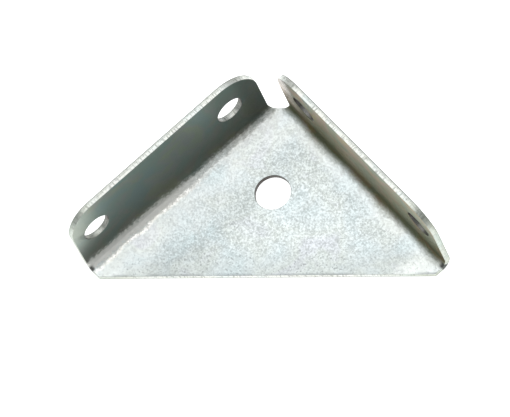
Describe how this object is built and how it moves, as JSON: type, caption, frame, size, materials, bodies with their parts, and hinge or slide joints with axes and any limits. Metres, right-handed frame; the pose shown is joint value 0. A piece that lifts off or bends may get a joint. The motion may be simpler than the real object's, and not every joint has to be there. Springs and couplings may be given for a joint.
{
  "type": "corner bracket",
  "caption": "Folded sheet steel corner bracket: a triangular plate with a screw hole and two upright flanges, each drilled for screws, meeting at a round relief.",
  "frame": {"origin": "centre of the plate's screw hole, on the plate's underside", "axes": "+Z along the plate's hole, the way the flanges rise; +Y the way one flange faces out; -X the way the other flange faces out"},
  "size_m": [0.05, 0.05, 0.02],
  "materials": {
    "zinc_steel": "zinc plated, satin, with a fine grain"
  },
  "bodies": {
    "root": {"bracket": "zinc_steel"}
  },
  "joints": []
}
